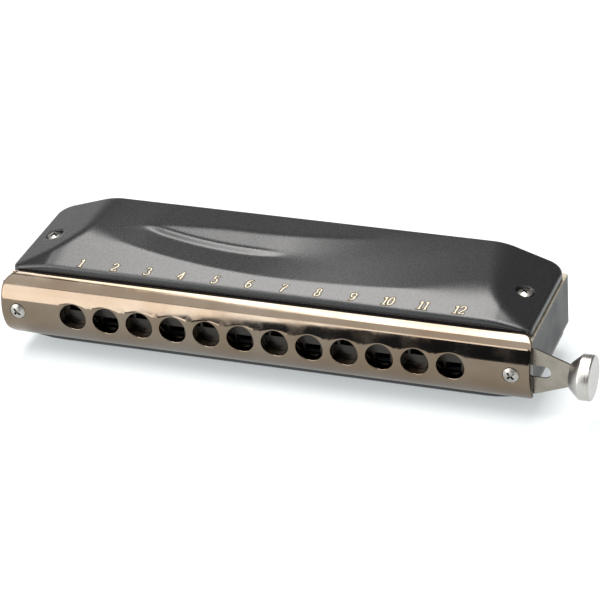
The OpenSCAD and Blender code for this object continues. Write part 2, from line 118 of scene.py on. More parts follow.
class Nodes:
    """A few short calls for wiring a node tree."""

    def __init__(self, tree):
        self.tree = tree
        tree.nodes.clear()

    def new(self, kind, **settings):
        """A new node with the given properties."""
        node = self.tree.nodes.new(kind)
        for name, value in settings.items():
            setattr(node, name, value)
        return node

    def feed(self, socket, value):
        """Links an output to the socket, or sets the socket to a constant."""
        if isinstance(value, bpy.types.NodeSocket):
            self.tree.links.new(value, socket)
        elif isinstance(value, (tuple, list)) and len(value) == 3 and socket.type == "RGBA":
            socket.default_value = (*value, 1)
        else:
            socket.default_value = value

    def math(self, operation, a, b=0.0, c=0.0):
        node = self.new("ShaderNodeMath", operation=operation)
        for socket, value in zip(node.inputs, (a, b, c)):
            self.feed(socket, value)
        return node.outputs[0]

    def step(self, value, start, end, low=0.0, high=1.0):
        """Smooth step from low to high as value goes from start to end."""
        node = self.new("ShaderNodeMapRange", interpolation_type="SMOOTHSTEP")
        settings = {"Value": value, "From Min": start, "From Max": end, "To Min": low, "To Max": high}
        for name, setting in settings.items():
            self.feed(node.inputs[name], setting)
        return node.outputs[0]

    def band(self, value, start, end, soft):
        """1 between start and end, falling to 0 over the width soft outside them."""
        rise = self.step(value, start - soft, start)
        fall = self.step(value, end, end + soft, 1.0, 0.0)
        return self.math("MULTIPLY", rise, fall)

    def noise(self, scale, detail=2.0, roughness=0.5, vector=None):
        """Noise from 0 to 1, with its scale in spots per metre."""
        node = self.new("ShaderNodeTexNoise")
        node.inputs["Scale"].default_value = scale
        node.inputs["Detail"].default_value = detail
        node.inputs["Roughness"].default_value = roughness
        if vector is not None:
            self.feed(node.inputs["Vector"], vector)
        return node.outputs[0]

    def mix(self, factor, a, b):
        """Colour a where factor is 0, b where it is 1."""
        node = self.new("ShaderNodeMix", data_type="RGBA")
        self.feed(node.inputs[0], factor)
        self.feed(node.inputs[6], a)
        self.feed(node.inputs[7], b)
        return node.outputs[2]

    def bump(self, height, strength, distance, normal=None):
        """A bumped normal, with the bumps' distance in metres."""
        node = self.new("ShaderNodeBump")
        node.inputs["Strength"].default_value = strength
        node.inputs["Distance"].default_value = distance
        self.feed(node.inputs["Height"], height)
        if normal is not None:
            self.feed(node.inputs["Normal"], normal)
        return node.outputs[0]

    def stretched(self, x=1, y=1, z=1):
        """Object coordinates in metres, scaled along each axis."""
        coordinates = self.new("ShaderNodeTexCoord")
        mapping = self.new("ShaderNodeMapping")
        mapping.inputs["Scale"].default_value = (x, y, z)
        self.feed(mapping.inputs["Vector"], coordinates.outputs["Object"])
        return mapping.outputs[0]

    def axes(self, vector):
        """The X, Y and Z of a vector."""
        node = self.new("ShaderNodeSeparateXYZ")
        self.feed(node.inputs[0], vector)
        return node.outputs


ROOM_LIGHT = 0.30
HIGH_FRONT_LIGHT = 1.6
BACK_LEFT_LIGHT = 0.4
CARD_LIGHT = 4.8
SOFTBOX_LIGHT = 8.5
BACK_SHADE = 0.45
DARK_CARD_SHADE = 0.8


def studio_directions(n):
    """The direction to the sky, and where it meets a flat ceiling and a wall in front, both at distance 1."""
    coordinates = n.new("ShaderNodeTexCoord")
    dx, dy, dz = n.axes(coordinates.outputs["Generated"])
    up = n.math("MAXIMUM", dz, 0.02)
    ceiling = n.math("DIVIDE", dx, up), n.math("DIVIDE", dy, up)
    forward = n.math("MAXIMUM", n.math("MULTIPLY", dy, -1.0), 0.02)
    wall = n.math("DIVIDE", dx, forward), n.math("DIVIDE", dz, forward)
    return (dx, dy, dz), ceiling, wall


def softbox(n, dz, x, y):
    """The overhead softbox on the ceiling, with a slanting left side and a cut-off rear right corner."""
    left_edge = n.math("MULTIPLY_ADD", n.math("MAXIMUM", y, 0.0), -0.25, -0.38)
    rear_edge = n.math("MULTIPLY_ADD", n.math("MAXIMUM", n.math("ADD", x, 0.42), 0.0), -0.9, 0.92)
    rear = n.step(n.math("SUBTRACT", y, rear_edge), 0.0, 0.08, 1.0, 0.0)
    shape = n.math("MULTIPLY", n.step(y, -0.66, -0.58), rear)
    shape = n.math("MULTIPLY", shape, n.step(n.math("SUBTRACT", x, left_edge), -0.03, 0.03))
    shape = n.math("MULTIPLY", shape, n.step(x, 0.0, 0.1, 1.0, 0.0))
    return n.math("MULTIPLY", shape, n.step(dz, 0.0, 0.03))


def add_studio():
    """A softbox overhead, a bright card at the front left and a dark card at the front."""
    world = bpy.data.worlds.new("studio")
    bpy.context.scene.world = world
    world.use_nodes = True
    n = Nodes(world.node_tree)
    (dx, dy, dz), (roof_x, roof_y), (front_x, front_z) = studio_directions(n)
    in_front = n.step(dy, -0.12, -0.02, 1.0, 0.0)
    roof = softbox(n, dz, roof_x, roof_y)

    low_card = n.math("MULTIPLY", n.band(front_x, -1.7, -0.40, 0.02), n.band(front_z, 0.0, 0.80, 0.03))
    strip = n.math("MULTIPLY", n.band(front_x, -0.42, -0.26, 0.03), n.band(front_z, 0.77, 0.84, 0.02))
    card = n.math("MULTIPLY", n.math("MAXIMUM", low_card, strip), in_front)
    dark = n.math("MULTIPLY", n.band(front_x, -0.37, 1.2, 0.03), n.band(front_z, 0.05, 0.74, 0.03))
    dark = n.math("MULTIPLY", dark, in_front)
    high_front = n.math("MULTIPLY", n.step(front_z, 0.80, 0.90), in_front)
    back = n.math("MULTIPLY", n.step(dy, 0.0, 0.3), n.band(dz, 0.30, 0.66, 0.05))
    back_left = n.math("MULTIPLY", n.band(dz, 0.0, 0.26, 0.06), n.step(dx, -0.25, -0.5))

    light = n.math("MULTIPLY_ADD", high_front, HIGH_FRONT_LIGHT, ROOM_LIGHT)
    light = n.math("MULTIPLY_ADD", back_left, BACK_LEFT_LIGHT, light)
    light = n.math("MULTIPLY", light, n.math("MULTIPLY_ADD", back, -BACK_SHADE, 1.0))
    light = n.math("MULTIPLY", light, n.math("MULTIPLY_ADD", dark, -DARK_CARD_SHADE, 1.0))
    light = n.math("MULTIPLY_ADD", card, CARD_LIGHT, light)
    light = n.math("MULTIPLY_ADD", roof, SOFTBOX_LIGHT, light)
    background = n.new("ShaderNodeBackground")
    n.feed(background.inputs["Color"], n.mix(dark, (1.0, 0.985, 0.965), (0.62, 0.76, 1.0)))
    n.feed(background.inputs["Strength"], light)
    output = n.new("ShaderNodeOutputWorld")
    n.feed(output.inputs["Surface"], background.outputs[0])


def add_floor():
    """A plain pale light table under the instrument."""
    mesh = bpy.data.meshes.new("floor")
    half = 2.5
    corners = [(-half, -half, 0), (half, -half, 0), (half, half, 0), (-half, half, 0)]
    mesh.from_pydata(corners, [], [(0, 1, 2, 3)])
    floor = bpy.data.objects.new("floor", mesh)
    bpy.context.scene.collection.objects.link(floor)
    material, (_, shader) = surface_material("floor_pale", (0.41, 0.43, 0.435), 0.0, 0.75)
    shader.inputs["Emission Color"].default_value = (0.94, 0.985, 1, 1)
    shader.inputs["Emission Strength"].default_value = 0.42
    mesh.materials.append(material)


# ---------------------------------------------------------------- materials

def surface_material(name, color, metallic, roughness):
    """A Principled material with its node helper and shader node, for adding detail to."""
    material = bpy.data.materials.new(name)
    material.use_nodes = True
    n = Nodes(material.node_tree)
    shader = n.new("ShaderNodeBsdfPrincipled")
    n.feed(shader.inputs["Base Color"], color)
    n.feed(shader.inputs["Metallic"], metallic)
    n.feed(shader.inputs["Roughness"], roughness)
    output = n.new("ShaderNodeOutputMaterial")
    n.feed(output.inputs["Surface"], shader.outputs[0])
    return material, (n, shader)


def cover_paint():
    """Satin black paint with a fine grain and a slight waviness."""
    material, (n, shader) = surface_material("cover_paint", (0.012, 0.0125, 0.014), 0.0, 0.28)
    shader.inputs["IOR"].default_value = 1.55
    place = n.stretched()
    grain = n.noise(4200, 2.0, 0.6, place)
    waves = n.noise(90, 2.0, 0.5, place)
    dark, pale = (0.005, 0.0052, 0.006), (0.014, 0.0144, 0.016)
    n.feed(shader.inputs["Base Color"], n.mix(n.step(grain, 0.35, 0.7), dark, pale))
    dust = n.noise(1700, 2.0, 0.6, place)
    n.feed(shader.inputs["Roughness"], n.step(dust, 0.3, 0.75, 0.25, 0.28))
    bump = n.bump(grain, 0.16, 0.00003)
    n.feed(shader.inputs["Normal"], n.bump(waves, 0.04, 0.0002, bump))
    return material


def plating():
    """Polished dark nickel with handling haze and faint waves, dark on the cut edge at the slide's end."""
    material, (n, shader) = surface_material("plated_mouthpiece", (0.175, 0.142, 0.11), 1.0, 0.07)
    place = n.stretched()
    haze = n.noise(160, 5.0, 0.62, place)
    clouds = n.noise(45, 3.0, 0.55, place)
    n.feed(shader.inputs["Roughness"], n.step(haze, 0.35, 0.8, 0.05, 0.16))
    tone = n.mix(n.step(clouds, 0.3, 0.72), (0.190, 0.158, 0.126), (0.162, 0.120, 0.084))
    x = n.axes(n.stretched())[0]
    cut_edge = n.step(x, SLIDE_END_X - 0.00025, SLIDE_END_X - 0.0001)
    n.feed(shader.inputs["Base Color"], n.mix(cut_edge, tone, (0.03, 0.024, 0.018)))
    n.feed(shader.inputs["Normal"], n.bump(clouds, 0.05, 0.0006))
    return material


def brushed(name, color, roughness, along, grain=0.12):
    """Metal with fine brush lines along one axis: 0 for X, 1 for Y, 2 for Z."""
    material, (n, shader) = surface_material(name, color, 1.0, roughness)
    lines_per_metre, breaks_per_metre = 5200, 160
    scale = [lines_per_metre] * 3
    scale[along] = breaks_per_metre
    lines = n.noise(1.0, 3.0, 0.6, n.stretched(*scale))
    stains = n.noise(260, 3.0, 0.55, n.stretched())
    tone = n.mix(n.step(stains, 0.3, 0.75), color, tuple(0.8 * c for c in color))
    n.feed(shader.inputs["Base Color"], tone)
    n.feed(shader.inputs["Roughness"], n.step(lines, 0.3, 0.75, roughness * 0.8, roughness * 1.3))
    n.feed(shader.inputs["Normal"], n.bump(lines, grain, 0.00003))
    return material, (n, shader)


def turned_steel():
    """Satin nickel with turning rings round the button's axis, which runs along X."""
    material, (n, shader) = surface_material("button_steel", (0.43, 0.415, 0.395), 1.0, 0.3)
    rings_per_metre = 3600.0
    x, y, z = n.axes(n.new("ShaderNodeTexCoord").outputs["Object"])
    axis = MIDDLE + Vector((0, (button_low.y + button_high.y) / 2, 0)) * MM
    across = n.math("POWER", n.math("SUBTRACT", y, axis.y), 2.0)
    height = n.math("POWER", n.math("SUBTRACT", z, axis.z), 2.0)
    radius = n.math("SQRT", n.math("ADD", across, height))
    ring_place = n.new("ShaderNodeCombineXYZ")
    n.feed(ring_place.inputs[0], n.math("MULTIPLY", radius, rings_per_metre))
    n.feed(ring_place.inputs[1], n.math("MULTIPLY", x, rings_per_metre))
    rings = n.noise(1.0, 2.0, 0.6, ring_place.outputs[0])
    n.feed(shader.inputs["Roughness"], n.step(rings, 0.3, 0.7, 0.26, 0.36))
    n.feed(shader.inputs["Normal"], n.bump(rings, 0.16, 0.00004))
    return material


def moulded_plastic():
    """Dark moulded plastic with a fine satin texture."""
    material, (n, shader) = surface_material("comb_plastic", (0.03, 0.031, 0.034), 0.0, 0.36)
    place = n.stretched()
    grain = n.noise(2600, 3.0, 0.6, place)
    clouds = n.noise(120, 2.0, 0.5, place)
    dark, pale = (0.018, 0.0185, 0.020), (0.028, 0.029, 0.032)
    n.feed(shader.inputs["Base Color"], n.mix(n.step(clouds, 0.3, 0.7), dark, pale))
    n.feed(shader.inputs["Roughness"], n.step(clouds, 0.3, 0.7, 0.38, 0.50))
    shader.inputs["IOR"].default_value = 1.3
    n.feed(shader.inputs["Normal"], n.bump(grain, 0.12, 0.00004))
    return material


def milky_silicone():
    """Soft translucent sleeves of the mouthpiece screws."""
    material, (n, shader) = surface_material("silicone", (0.82, 0.80, 0.74), 0.0, 0.42)
    clouds = n.noise(900, 2.0, 0.5, n.stretched())
    shader.inputs["Subsurface Weight"].default_value = 0.3
    shader.inputs["Subsurface Radius"].default_value = (0.0008, 0.0007, 0.0005)
    n.feed(shader.inputs["Base Color"], n.mix(clouds, (0.78, 0.76, 0.70), (0.88, 0.86, 0.80)))
    n.feed(shader.inputs["Normal"], n.bump(clouds, 0.1, 0.00005))
    return material


def frosted_film():
    """Thin matt plastic film of the valves."""
    material, (n, shader) = surface_material("valve_film", (0.86, 0.84, 0.78), 0.0, 0.5)
    fibres = n.noise(1.0, 2.0, 0.5, n.stretched(900, 300, 900))
    n.feed(shader.inputs["Base Color"], n.mix(fibres, (0.80, 0.78, 0.72), (0.90, 0.88, 0.83)))
    n.feed(shader.inputs["Roughness"], n.step(fibres, 0.3, 0.7, 0.42, 0.58))
    n.feed(shader.inputs["Normal"], n.bump(fibres, 0.08, 0.00005))
    return material


def inlay(name, color, roughness, ior=1.5):
    """Printed foil of the numerals, a little worn in spots."""
    material, (n, shader) = surface_material(name, color, 0.0, roughness)
    shader.inputs["IOR"].default_value = ior
    wear = n.noise(2600, 2.0, 0.6, n.stretched())
    worn = tuple(0.72 * c for c in color)
    n.feed(shader.inputs["Base Color"], n.mix(n.step(wear, 0.3, 0.8), color, worn))
    n.feed(shader.inputs["Roughness"], n.step(wear, 0.3, 0.8, roughness, roughness + 0.12))
    return material


def screw_steel():
    """Nickel-plated steel, with painted shade down in the cross recess, from an ambient occlusion mask."""
    material, (n, shader) = brushed("screw_steel", (0.38, 0.365, 0.34), 0.34, 0, 0.06)
    shade = n.new("ShaderNodeAmbientOcclusion", samples=8, only_local=True)
    shade.inputs["Distance"].default_value = 0.0006
    # painted shade: the ambient occlusion mask darkens the colour down in the cross recess
    depth = n.step(shade.outputs["AO"], 0.35, 0.85)
    tone = shader.inputs["Base Color"].links[0].from_socket
    n.feed(shader.inputs["Base Color"], n.mix(depth, (0.02, 0.018, 0.016), tone))
    return material


def plate_brass():
    """Pale brass sheet, satin on its faces, with painted shade on its cut edges: they are coloured near
    black.
    """
    # the second colour is painted shade, near black, for the sheet's cut edges
    face, edge = (0.66, 0.60, 0.48), (0.09, 0.08, 0.065)
    material, (n, shader) = brushed("plate_brass", face, 0.42, 0)
    tone = shader.inputs["Base Color"].links[0].from_socket
    normal_z = n.axes(n.new("ShaderNodeNewGeometry").outputs["True Normal"])[2]
    flat = n.step(n.math("ABSOLUTE", normal_z), 0.3, 0.6)
    # painted shade: faces standing on edge get the near-black colour
    n.feed(shader.inputs["Base Color"], n.mix(flat, edge, tone))
    return material


def slide_steel():
    """Brushed steel, with painted shade where the slide runs inside the mouthpiece: its colour there is near
    black.
    """
    # the dark colour is painted shade for the part of the slide inside the mouthpiece
    bright, inside_shade = (0.27, 0.245, 0.21), (0.040, 0.037, 0.034)
    material, (n, shader) = brushed("slide_steel", bright, 0.30, 0)
    tone = shader.inputs["Base Color"].links[0].from_socket
    x = n.axes(n.stretched())[0]
    outside = n.step(x, SLIDE_END_X - 0.0035, SLIDE_END_X - 0.0005)
    # painted shade: near black inside the mouthpiece, the steel's own colour outside it
    n.feed(shader.inputs["Base Color"], n.mix(outside, inside_shade, tone))
    return material


PAINT = cover_paint()
PLATING = plating()
# one material for each of the record's slots
FINISHES = {
    "plated_mouthpiece": PLATING,
    "slide_steel": slide_steel(),
    "button_steel": turned_steel(),
    "silicone": milky_silicone(),
    "spring_steel": brushed("spring_steel", (0.62, 0.62, 0.62), 0.22, 0)[0],
    "comb_plastic": moulded_plastic(),
    "plate_brass": plate_brass(),
    "reed_brass": brushed("reed_brass", (0.74, 0.60, 0.34), 0.22, 1)[0],
    "valve_film": frosted_film(),
    "cover_paint": PAINT,
    "small_screw": brushed("small_screw", (0.52, 0.49, 0.43), 0.42, 0)[0],
    "screw_steel": screw_steel(),
}


def dress_cad_nodes():
    """Every CAD node shown as it is gets its slot's material."""
    for part in frame["record"]["subparts"]:
        node = frame["nodes"][part["node"]]
        node.data.materials.clear()
        node.data.materials.append(FINISHES[part["material_slot"]])


# ---------------------------------------------------------------- mesh helpers

class Shape:
    """Points in millimetres from MIDDLE, and faces."""

    def __init__(self):
        self.points = []
        self.faces = []

    def loop(self, points):
        """Adds points and returns their indices."""
        start = len(self.points)
        self.points.extend(points)
        return list(range(start, len(self.points)))

    def bridge(self, a, b, closed=True):
        """Quads between two rows of the same length."""
        count = len(a)
        for k in range(count if closed else count - 1):
            m = (k + 1) % count
            self.faces.append((a[k], a[m], b[m], b[k]))

    def piece(self, name, material, slot, body=BODY, smooth_angle=None, facing=0):
        """Makes the object. facing 1 or -1 turns an open sheet's faces up or down."""
        mesh = bpy.data.meshes.new(name)
        points = [tuple(MIDDLE + Vector([float(c) for c in p]) * MM) for p in self.points]
        mesh.from_pydata(points, [], self.faces)
        bm = bmesh.new()
        bm.from_mesh(mesh)
        bmesh.ops.remove_doubles(bm, verts=bm.verts, dist=1e-7)
        loose = [v for v in bm.verts if not v.link_faces]
        bmesh.ops.delete(bm, geom=loose, context="VERTS")
        bmesh.ops.recalc_face_normals(bm, faces=bm.faces)
        if facing:
            total = sum(face.normal.z * face.calc_area() for face in bm.faces)
            if total * facing < 0:
                bmesh.ops.reverse_faces(bm, faces=bm.faces)
        bm.to_mesh(mesh)
        bm.free()
        mesh.materials.append(material)
        mesh.shade_smooth()
        if smooth_angle:
            mesh.set_sharp_from_angle(angle=radians(smooth_angle))
        item = bpy.data.objects.new(name, mesh)
        bpy.context.scene.collection.objects.link(item)
        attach(item, body)
        return item


def smooth(start, end, value):
    """Smooth step from 0 to 1 as value goes from start to end."""
    t = np.clip((value - start) / (end - start), 0, 1)
    return t * t * (3 - 2 * t)


def soft_min(a, b, width):
    """The lower of two heights, blended where they are within width of each other."""
    h = np.clip(0.5 + 0.5 * (b - a) / width, 0, 1)
    return b * (1 - h) + a * h - width * h * (1 - h)


# ---------------------------------------------------------------- covers

COVER_HALF = (cover_high.x - cover_low.x) / 2
COVER_FRONT = cover_low.y
COVER_BACK = cover_high.y
COVER_BASE = cover_low.z
CROWN = cover_high.z
# heights of the front slope's lower edge, of the ends, and of the hem across the open back
CREASE = 11.4
END = 9.5
HEM = 13.0
# how far from the middle the end ramps reach the crown's height, and the open back ends
CROWN_HALF = 55.0
BACK_GAP = 57.0
RAMP = (CROWN - END) / (COVER_HALF - CROWN_HALF)
SLOPE = 0.21
EDGE_R = 0.8
FRONT_CORNER_R = 2.5
BACK_CORNER_R = 4.0
SHEET = 0.6
COVER_HEAD_R = 2.1
COVER_SCREW_X = (screws_high.x - screws_low.x) / 2 - COVER_HEAD_R
COVER_SCREW_Y = (screws_low.y + screws_high.y) / 2
SEAT = END + 0.9
DIMPLE_R = 2.4
LIP_R = 0.2
# beyond this X the front slope bends down towards the cover's ends
DROOP_X = 61.5
DROOP = 0.19
# points along and across the table of heights, and cells along and across the cover's top
TABLE_SIZE = (353, 688)
COLUMNS, ROWS = 208, 92


def crest_y(x):
    """Where the front slope ends and the thumb trough starts."""
    bend = np.where(x < 3, 0.0029, 0.0018)
    return 12.0 + bend * (x - 3) ** 2


def lip_y(x):
    """The crescent lip in the trough."""
    return 23.0 + 0.0049 * (x + 8) ** 2


def line_y(x):
    """Where the raised leaf behind the lip meets the crown."""
    bend = np.where(x < -14, -0.0045, 0.0035)
    return 30.6 + bend * (x + 14) ** 2


def bell(value, width):
    """A smooth bump, 1 high, with width as its standard deviation."""
    return np.exp(-0.5 * (value / width) ** 2)


def height_table():
    """Heights of the cover between its ends, from the slope of its surface from front to back.

    The front slope, the lip and its notch, and the groove behind the leaf have fixed slopes. The rest of
    the rise to the crown is shared out between the trough, the leaf and the crown.
    """
    xs = np.linspace(-COVER_HALF, COVER_HALF, TABLE_SIZE[0])
    ys = np.linspace(COVER_FRONT, COVER_BACK, TABLE_SIZE[1])
    x = xs[:, None]
    y = ys[None, :]
    crest_soft = 0.5 + 5.5 * smooth(34, 54, x) + 4.0 * smooth(-40, -54, x)
    past_crest = smooth(-crest_soft, crest_soft, y - crest_y(x))
    lip_soft = 1.6 + 4.0 * smooth(-6, 10, x) + 4.0 * smooth(-36, -46, x)
    past_lip = smooth(-lip_soft, lip_soft * 0.4, y - lip_y(x))
    line_soft = 0.7 + 3.0 * smooth(5, 30, x)
    past_line = smooth(-line_soft, line_soft, y - line_y(x))

    trough = 0.035 + 0.03 * smooth(-15, 15, x)
    leaf = 0.155 - 0.10 * smooth(-20, 25, x) - 0.07 * smooth(-34, -46, x)
    crown = 0.03
    behind_lip = leaf * (1 - past_line) + crown * past_line
    rest = past_crest * (trough * (1 - past_lip) + past_lip * behind_lip)

    lip_on = smooth(-42, -34, x) * smooth(2, -10, x)
    lip = lip_on * past_crest * 0.42 * bell(y - lip_y(x) + 0.75, 0.55)
    notch = -lip_on * 0.16 * bell(y - lip_y(x) - 0.8, 0.35)
    groove = -0.06 * smooth(-34, -26, x) * smooth(26, 12, x) * bell(y - line_y(x), 0.6)
    fixed = SLOPE * (1 - past_crest) + lip + notch + groove

    step = ys[1] - ys[0]
    missing = CROWN - CREASE - fixed.sum(axis=1) * step
    share = missing / (rest.sum(axis=1) * step)
    slope = fixed + rest * share[:, None]
    heights = CREASE + np.cumsum(slope, axis=1) * step
    return xs, ys, heights


COVER_XS, COVER_YS, COVER_HEIGHTS = height_table()


def cover_height(x, y):
    """Height of the cover's outer surface, before its edges are rounded off."""
    x = np.asarray(x, float)
    y = np.asarray(y, float)
    u = np.clip((x - COVER_XS[0]) / (COVER_XS[1] - COVER_XS[0]), 0, len(COVER_XS) - 1.001)
    v = np.clip((y - COVER_YS[0]) / (COVER_YS[1] - COVER_YS[0]), 0, len(COVER_YS) - 1.001)
    i = u.astype(int)
    j = v.astype(int)
    p = u - i
    q = v - j
    h = COVER_HEIGHTS
    middle = (h[i, j] * (1 - p) * (1 - q) + h[i + 1, j] * p * (1 - q)
              + h[i, j + 1] * (1 - p) * q + h[i + 1, j + 1] * p * q)
    out = np.abs(x)
    droop = DROOP * np.maximum(out - DROOP_X, 0) + DROOP * bell(out - DROOP_X, 1.5) * 0.6
    ramp = END + RAMP * (COVER_HALF - out)
    ramp_soft = 0.3 + 0.022 * (y - COVER_FRONT)
    return soft_min(middle - droop, ramp, ramp_soft)


def cover_outline():
    """Points round the cover's plan and their inward directions, front side first, counterclockwise."""
    low = np.array([-COVER_HALF, COVER_FRONT])
    high = np.array([COVER_HALF, COVER_BACK])
    width, depth = high - low
    f, b = FRONT_CORNER_R, BACK_CORNER_R
    sides = [
        (np.array([low[0], low[1]]), np.array([1, 0]), width, f, f, COLUMNS),
        (np.array([high[0], low[1]]), np.array([0, 1]), depth, f, b, ROWS),
        (np.array([high[0], high[1]]), np.array([-1, 0]), width, b, b, COLUMNS),
        (np.array([low[0], high[1]]), np.array([0, -1]), depth, b, f, ROWS),
    ]
    points, inward = [], []
    for start, along, length, r0, r1, count in sides:
        normal = np.array([-along[1], along[0]])
        for k in range(count):
            t = length * k / count
            if t < r0:
                angle = radians(45 + 45 * t / r0)
                ahead, aside = r0 - r0 * cos(angle), r0 - r0 * sin(angle)
                direction = along * cos(angle) + normal * sin(angle)
            elif t > length - r1:
                angle = radians(45 + 45 * (length - t) / r1)
                ahead, aside = length - r1 + r1 * cos(angle), r1 - r1 * sin(angle)
                direction = -along * cos(angle) + normal * sin(angle)
            else:
                ahead, aside = t, 0.0
                direction = normal
            points.append(start + along * ahead + normal * aside)
            inward.append(direction)
    return np.array(points, float), np.array(inward, float)


def wall_foot(x, y):
    """How far down the cover's wall goes: to the reed plate, or to the hem across the open back."""
    if y < COVER_BACK - 0.5:
        return COVER_BASE
    gap = float(smooth(BACK_GAP + 1.6, BACK_GAP - 0.6, abs(x)))
    return COVER_BASE + (HEM - COVER_BASE) * gap


def cover_sides(shape):
    """The cover's walls and rounded edge. Returns the loop where the edge meets the top."""
    outline, inward = cover_outline()

    def ring(inset, drop):
        p = outline + inward * inset
        z = cover_height(p[:, 0], p[:, 1]) - drop
        return shape.loop([(a, b, c) for (a, b), c in zip(p, z)])

    edge = ring(0, EDGE_R)
    top = [shape.points[k] for k in edge]
    below = edge
    for part in (0.35, 0.7, 1.0):
        level = shape.loop([(a, b, c + part * (min(wall_foot(a, b), c - 0.05) - c)) for a, b, c in top])
        shape.bridge(below, level)
        below = level
    before = edge
    for angle in (15, 30, 45, 60, 75, 90):
        after = ring(EDGE_R * (1 - cos(radians(angle))), EDGE_R * (1 - sin(radians(angle))))
        shape.bridge(after, before)
        before = after
    return before


def border_step(i, j):
    """How far round the top's loop a border point of its grid is."""
    if j == 0:
        return i
    if i == COLUMNS:
        return COLUMNS + j
    if j == ROWS:
        return 2 * COLUMNS + ROWS - i
    return 2 * COLUMNS + 2 * ROWS - j


def cover_top(shape, loop):
    """A grid of point indices over the top, blended in from the loop round it."""
    rim = np.array([shape.points[k][:2] for k in loop])
    front = rim[:COLUMNS + 1]
    right = rim[COLUMNS:COLUMNS + ROWS + 1]
    back = rim[COLUMNS + ROWS:2 * COLUMNS + ROWS + 1][::-1]
    left = np.vstack([rim[2 * COLUMNS + ROWS:], rim[:1]])[::-1]
    grid = np.zeros((COLUMNS + 1, ROWS + 1), int)
    for i in range(COLUMNS + 1):
        u = i / COLUMNS
        for j in range(ROWS + 1):
            v = j / ROWS
            if i in (0, COLUMNS) or j in (0, ROWS):
                grid[i, j] = loop[border_step(i, j) % len(loop)]
                continue
            sides = (1 - v) * front[i] + v * back[i] + (1 - u) * left[j] + u * right[j]
            corners = ((1 - u) * (1 - v) * front[0] + u * (1 - v) * front[COLUMNS]
                       + (1 - u) * v * back[0] + u * v * back[COLUMNS])
            x, y = sides - corners
            grid[i, j] = shape.loop([(x, y, 0.0)])[0]
    inner = grid[1:-1, 1:-1].ravel()
    flat = np.array([shape.points[k] for k in inner])
    for k, z in zip(inner, cover_height(flat[:, 0], flat[:, 1])):
        shape.points[k] = (shape.points[k][0], shape.points[k][1], z)
    return grid


def cover_shape():
    """The pressed sheet: rounded edge, walls, sculpted top and a dimple for each screw."""
    shape = Shape()
    grid = cover_top(shape, cover_sides(shape))
    taken = set()
    for side in (-1, 1):
        taken |= cover_dimple(shape, grid, side * COVER_SCREW_X, COVER_SCREW_Y)
    for i in range(COLUMNS):
        for j in range(ROWS):
            if (i, j) not in taken:
                shape.faces.append((grid[i, j], grid[i + 1, j], grid[i + 1, j + 1], grid[i, j + 1]))
    return shape


def block_border(grid, i0, i1, j0, j1):
    """Indices round a block of the grid, counterclockwise."""
    return ([grid[i, j0] for i in range(i0, i1)] + [grid[i1, j] for j in range(j0, j1)]
            + [grid[i, j1] for i in range(i1, i0, -1)] + [grid[i0, j] for j in range(j1, j0, -1)])


def cover_dimple(shape, grid, x, y):
    """Replaces a block of the grid by a round pressed seat for a screw. Returns the block's cells."""
    half = DIMPLE_R + 0.6
    fillet = 0.5
    shank_hole_r = 1.3
    columns = [shape.points[k][0] for k in grid[:, ROWS // 2]]
    rows = [shape.points[k][1] for k in grid[COLUMNS // 2]]
    i0 = max(k for k, c in enumerate(columns) if c <= max(x - half, columns[0] + 1e-6))
    i1 = min(k for k, c in enumerate(columns) if c >= min(x + half, columns[-1] - 1e-6))
    j0 = max(k for k, c in enumerate(rows) if c <= y - half)
    j1 = min(k for k, c in enumerate(rows) if c >= y + half)
    border = block_border(grid, i0, i1, j0, j1)
    turns = [atan2(shape.points[k][1] - y, shape.points[k][0] - x) for k in border]

    def circle(r, height):
        spots = [(x + r * cos(t), y + r * sin(t)) for t in turns]
        return shape.loop([(a, b, height(a, b)) for a, b in spots])

    rings = [circle(DIMPLE_R + LIP_R, lambda a, b: float(cover_height(a, b)))]
    for angle in (60, 30, 0):
        drop = LIP_R * (1 - sin(radians(angle)))
        out = DIMPLE_R + LIP_R * (1 - cos(radians(angle)))
        rings.append(circle(out, lambda a, b, d=drop: float(cover_height(a, b)) - d))
    lip = [shape.points[k] for k in rings[-1]]
    for share in (0.35, 0.7):
        rings.append(shape.loop([(a, b, c + share * (SEAT + fillet - c)) for a, b, c in lip]))
    for angle in (0, 30, 60, 90):
        out = DIMPLE_R - fillet * (1 - cos(radians(angle)))
        rings.append(circle(out, lambda a, b, h=SEAT + fillet * (1 - sin(radians(angle))): h))
    rings.append(circle(shank_hole_r, lambda a, b: SEAT))
    before = border
    for after in rings:
        shape.bridge(before, after)
        before = after
    return {(i, j) for i in range(i0, i1) for j in range(j0, j1)}


def mirrored(shape):
    """The same shape below the middle."""
    other = Shape()
    other.points = [(a, b, -c) for a, b, c in shape.points]
    other.faces = [tuple(reversed(face)) for face in shape.faces]
    return other


def add_covers():
    """Both pressed covers, each a sheet with its thickness inwards."""
    shape = cover_shape()
    for name, each, facing in (("upper", shape, 1), ("lower", mirrored(shape), -1)):
        cover = each.piece(f"{name}_cover_shell", PAINT, "cover_paint", facing=facing)
        sheet = cover.modifiers.new("sheet", "SOLIDIFY")
        sheet.thickness = SHEET * MM
        sheet.offset = -1
        sheet.use_even_offset = False
        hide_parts(f"{name}_cover")


# ---------------------------------------------------------------- mouthpiece

MOUTH_HALF = (mouth_high.x - mouth_low.x) / 2
MOUTH_TOP = mouth_high.z
MOUTH_BACK = mouth_high.y
BOW_R = 11.5
SHOULDER_R = 2.8
SHOULDER_Z = MOUTH_TOP - SHOULDER_R
SHOULDER_Y = BOW_R - sqrt((BOW_R - SHOULDER_R) ** 2 - SHOULDER_Z ** 2)
BOW_END = atan2(SHOULDER_Z, BOW_R - SHOULDER_Y)
END_CORNER_R = 3.5
BACK_CORNER = 4.0
HOLLOW_Y = 3.05
HOLLOW_Z = 7.25
